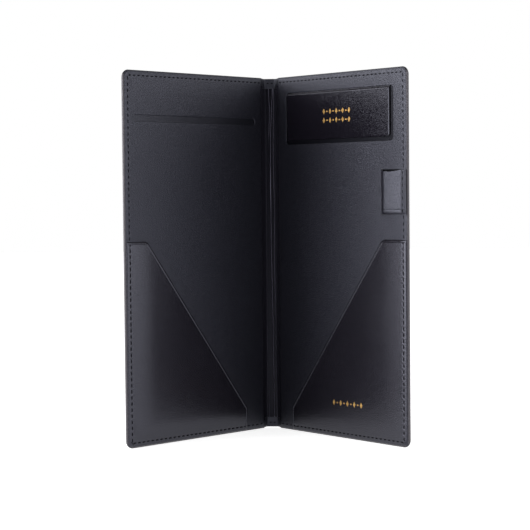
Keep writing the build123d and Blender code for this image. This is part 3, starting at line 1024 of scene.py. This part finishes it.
# ---- Gold marks ----
# Plain lozenges and short bars of gold foil, two rows on the card pocket and one on the right
# pocket. Heat presses the foil onto the leather, so it hardly stands proud of it.
foil_proud = 0.02 * mm
gold = bpy.data.materials.new("gold_foil")
gold.use_nodes = True
gold_tree = gold.node_tree
gold_surface = gold_tree.nodes["Principled BSDF"]
gold_surface.inputs["Metallic"].default_value = 0.9
gold_rub = use_group(gold_tree, rub_tree, {"Patches": 900.0, "Low": 0.0, "High": 1.0})
gold_tone = add_node(
    gold_tree, "ShaderNodeMix",
    {"Factor": gold_rub.outputs["Value"], 6: (0.55, 0.30, 0.08, 1), 7: (0.85, 0.55, 0.20, 1)},
    data_type="RGBA",
)
gold_tree.links.new(gold_tone.outputs[2], gold_surface.inputs["Base Color"])
gold_gloss = use_group(gold_tree, rub_tree, {"Patches": 1500.0, "Low": 0.32, "High": 0.5})
gold_tree.links.new(gold_gloss.outputs["Value"], gold_surface.inputs["Roughness"])
for node, lies_on_pocket in (("card_pocket_foil", False), ("pocket_foil", True)):
    foil_bm = bmesh.new()
    foil_bm.from_mesh(frame["nodes"][node].data)
    bmesh.ops.remove_doubles(foil_bm, verts=foil_bm.verts, dist=exact_play)
    for vert in foil_bm.verts:
        vert.co = flattened(vert.co, sides["right"])
        swell = pocket_rise("right", vert.co.x, vert.co.y) if lies_on_pocket else 0
        vert.co.z += foil_proud + swell
    piece = finished(foil_bm, node.replace("foil", "marks"), gold)
    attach(piece, "right_cover")
    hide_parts(node)

# ---- Pen loop ----
# A broad band of the lining's leather. It comes out of a slit in the right lining, stands open
# for a pen and is sewn down at the cover's edge. Its two ends are turned over and rounded.
loop_band_leather = leather(
    "loop_leather", dark=(0.0105, 0.0105, 0.0155), light=(0.017, 0.017, 0.0235),
    rough=(0.29, 0.33), cells=1000.0, crease=0.35, grain_depth=0.00006,
)
# A black matte material for the middle of the band's top edge: painted shade where the loop's open mouth
# lies in shadow.
loop_edge_painted_shade = leather(
    "loop_edge_painted_shade", dark=(0.0015, 0.0015, 0.002), light=(0.003, 0.003, 0.004),
    rough=(0.6, 0.7), cells=3000.0, crease=0.5, grain_depth=0.00002,
    gloss=0.05,
)
loop_tab = 4.4 * mm
loop_top = lining_top + loop_leather
loop_far = lining_end - loop_tab
loop_reached = loop_far - loop_near
loop_rise = 2.3 * mm
loop_crest = 0.24
loop_fall = 1.15
loop_roll = 1.9 * mm
roll_share = 0.75
loop_hem = 2.9 * mm
hem_crease = 0.16 * mm
hem_crease_width = 0.35 * mm
painted_shade_height = 1.5 * mm
band_proud = 0.05 * mm
loop_lift = 0.1 * mm
# Inside the slit the band stands upright, and bends over onto the lining where it comes out.
slit_bend = 0.4 * mm
root_offset = 0.35 * mm
root_levels = in_mm(1.3, 1.8)
loop_step = 1.0 * mm
arch_steps = 30
tab_steps = 8


def loop_arch(share):
    """Share of the band's full rise, from 0 at the slit over its crest to 0 at the tab."""
    if share < loop_crest:
        return 1 - (1 - share / loop_crest) ** 2
    return 1 - ((share - loop_crest) / (1 - loop_crest)) ** loop_fall


# The band's section from the slit to the tab: places across the cover and levels.
loop_bm = bmesh.new()
section = [(loop_near + root_offset, level) for level in root_levels]
for index in range(arch_steps + 1):
    share = index / arch_steps
    level = lining_top + band_proud + (loop_leather - band_proud) * share
    level += loop_rise * loop_arch(share)
    section.append((loop_near + slit_bend + (loop_reached - slit_bend) * share, level))
for index in range(1, tab_steps + 1):
    section.append((loop_far + loop_tab * index / tab_steps, loop_top))
section_verts = [loop_bm.verts.new((fold_reach + along, 0, level)) for along, level in section]
row = [loop_bm.edges.new(pair) for pair in zip(section_verts, section_verts[1:])]
# It is drawn out up the cover in rows, which are close together at its two rounded ends.
loop_rows = in_mm(0.1, 0.25, 0.45, 0.7, 1.0, 1.3, 1.6, 1.9, 2.2, 2.5, 2.7, 2.9, 3.1, 3.4, 4.0)
loop_width = loop_high - loop_low
loop_places = loop_rows + steps(loop_rows[-1], loop_width - loop_rows[-1], loop_step)
loop_places += [loop_width - up for up in reversed(loop_rows)] + [loop_width]
reached = 0
for up in loop_places:
    grown = bmesh.ops.extrude_edge_only(loop_bm, edges=row)
    row = [item for item in grown["geom"] if isinstance(item, bmesh.types.BMEdge)]
    row = [edge for edge in row if edge.is_boundary or not edge.link_faces]
    moved = {vert for edge in row for vert in edge.verts}
    row = [edge for edge in row if abs(edge.verts[0].co.y - edge.verts[1].co.y) < exact_play]
    bmesh.ops.translate(loop_bm, vec=(0, up - reached, 0), verts=list(moved))
    reached = up
bmesh.ops.translate(loop_bm, vec=(0, loop_low, 0), verts=loop_bm.verts)
for vert in loop_bm.verts:
    x, y, z = vert.co
    from_end = min(y - loop_low, loop_high - y)
    proud = max(z - lining_top - loop_lift, 0)
    rolled = 1 - rounded(from_end, loop_roll)
    crease = bell(y - loop_low - loop_hem, hem_crease_width)
    vert.co.z -= roll_share * proud * rolled + hem_crease * crease * (proud > 0)
thicken(loop_bm, loop_leather - loop_lift)
# Faces along the middle of the top edge, in a lens shape, take the black matte material: painted shade of
# the loop's open mouth.
for face in loop_bm.faces:
    middle = face.calc_center_median()
    share = (middle.x - fold_reach - loop_near) / loop_reached
    shade_bow = max(1 - (2 * share - 1) ** 2, 0)
    if loop_high - middle.y < painted_shade_height * shade_bow and middle.z > lining_top:
        face.material_index = 1
piece = finished(loop_bm, "pen_loop_band", loop_band_leather)
piece.data.materials.append(loop_edge_painted_shade)
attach(piece, "right_cover")
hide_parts("pen_loop")

# ---- Stitching ----
# Black waxed thread in a lockstitch, one row all round each cover and across the spine's hems.
# Each stitch dips into the needle hole at both ends and leans a little.
thread_black = leather(
    "waxed_thread", dark=(0.002, 0.002, 0.003), light=(0.006, 0.006, 0.008),
    rough=(0.55, 0.7), cells=4200.0, crease=0.5, grain_depth=0.00003,
    gloss=0.1,
)
thread_width = 0.9 * mm
thread_share = 0.76
thread_height = 0.3 * mm
thread_lean = radians(5)
# How far inward a thread's middle lies from its solid's top. The inner rows stand proud of their
# grooves, while the outer rows lie wholly within the leather and don't show.
inner_sink = -0.12 * mm
outer_sink = 0.02 * mm
for node, side, body in (
    ("left_inner_stitching", -1, "left_cover"),
    ("left_outer_stitching", -1, "left_cover"),
    ("right_inner_stitching", 1, "right_cover"),
    ("right_outer_stitching", 1, "right_cover"),
    ("spine_stitching", 0, "spine"),
):
    thread_bm = bmesh.new()
    for start, end in stitch_spans(node, side):
        middle = (start + end) / 2
        inside = middle.z > leather_middle
        middle.z += inner_sink if inside else outer_sink
        length = (end - start).length * thread_share
        run = (end - start).to_track_quat("X", "Z").to_matrix().to_4x4()
        lean = Matrix.Rotation(thread_lean * (1 if inside else -1), 4, "Z")
        shape = Matrix.Diagonal((length, thread_width, thread_height, 1))
        upright = Matrix.Rotation(pi / 2, 4, "Y")
        bmesh.ops.create_uvsphere(
            thread_bm, u_segments=8, v_segments=6, radius=0.5,
            matrix=Matrix.Translation(middle) @ run @ lean @ shape @ upright,
        )
    piece = finished(thread_bm, node.replace("stitching", "thread"), thread_black)
    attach(piece, body)
    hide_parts(node)
